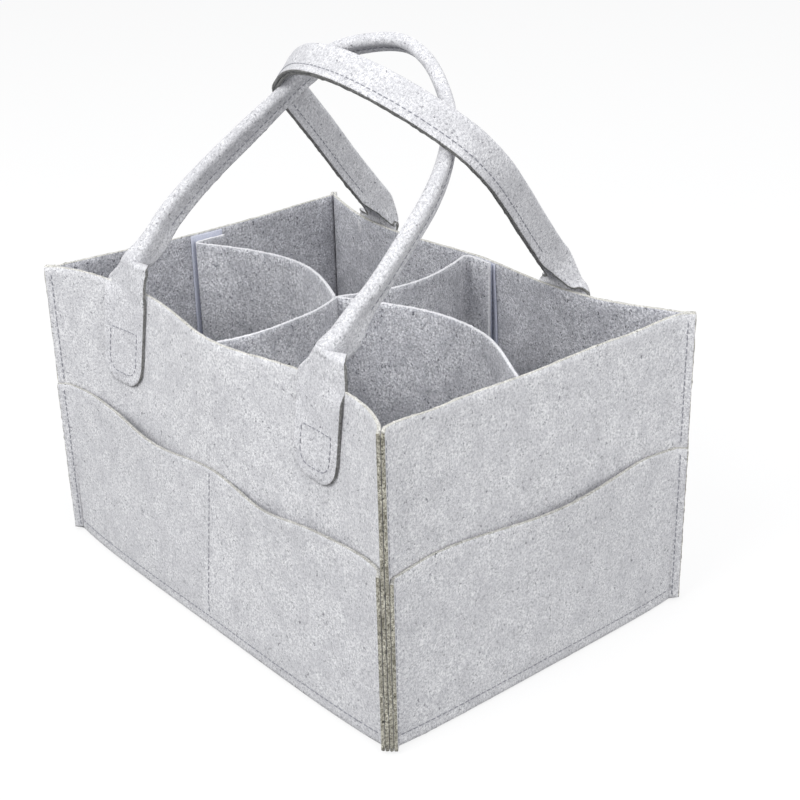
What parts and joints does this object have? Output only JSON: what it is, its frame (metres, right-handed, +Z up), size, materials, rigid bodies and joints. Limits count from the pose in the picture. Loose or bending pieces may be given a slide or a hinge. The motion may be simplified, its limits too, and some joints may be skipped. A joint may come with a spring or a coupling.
{
  "type": "diaper bag",
  "caption": "Open rectangular felt caddy with outside pockets, folded felt carrying straps and a lift-out cross divider.",
  "frame": {"origin": "under the middle of the bag, on the surface it stands on", "axes": "+Z up; X along the long walls, +X toward the end wall nearer to the camera; -Y outward from the front wall"},
  "size_m": [0.3364, 0.2362, 0.3313],
  "materials": {
    "body_felt": "matt pressed felt, light grey with short dark flecks",
    "pocket_felt": "matt pressed felt, light grey with short dark flecks",
    "strap_felt": "matt pressed felt, folded and sewn along its edge",
    "divider_felt": "matt pressed felt, a little darker in the shade of the bag",
    "loop_tape": "soft looped pile, pale cool grey",
    "hook_tape": "fine stiff hooks, pale cool grey"
  },
  "bodies": {
    "bag": {"base_panel": "body_felt", "front_panel": "body_felt", "front_pocket": "pocket_felt", "front_loop_tape": "loop_tape", "back_panel": "body_felt", "back_pocket": "pocket_felt", "back_loop_tape": "loop_tape", "right_end_panel": "body_felt", "right_end_pocket": "pocket_felt", "right_end_loop_tape": "loop_tape", "left_end_panel": "body_felt", "left_end_pocket": "pocket_felt", "left_end_loop_tape": "loop_tape", "front_handle_tab_left": "strap_felt", "front_handle_tab_right": "strap_felt", "back_handle_tab_left": "strap_felt", "back_handle_tab_right": "strap_felt"},
    "front_handle": {"front_handle_grip": "strap_felt"},
    "back_handle": {"back_handle_grip": "strap_felt"},
    "insert": {"insert_cross_strip": "divider_felt", "front_hook_tape": "hook_tape", "back_hook_tape": "hook_tape"},
    "left_wing": {"insert_left_wing": "divider_felt", "left_end_hook_tape": "hook_tape"},
    "right_wing": {"insert_right_wing": "divider_felt", "right_end_hook_tape": "hook_tape"}
  },
  "joints": [
    {"name": "front_handle_swing", "type": "hinge", "parent": "bag", "child": "front_handle", "pos_m": [0, -0.092, 0.2], "axis": [1, 0, 0], "range_deg": [-40, 0]},
    {"name": "back_handle_swing", "type": "hinge", "parent": "bag", "child": "back_handle", "pos_m": [0, 0.1025, 0.187], "axis": [-1, 0, 0], "range_deg": [0, 130]},
    {"name": "insert_lift", "type": "slide", "parent": "bag", "child": "insert", "axis": [0, 0, 1], "range_m": [0, 0.085]},
    {"name": "left_wing_swing", "type": "hinge", "parent": "insert", "child": "left_wing", "pos_m": [-0.0093, -0.007, 0.095], "axis": [0, 0, -1], "range_deg": [0, 30]},
    {"name": "right_wing_swing", "type": "hinge", "parent": "insert", "child": "right_wing", "pos_m": [-0.0047, -0.007, 0.095], "axis": [0, 0, 1], "range_deg": [0, 30]}
  ]
}
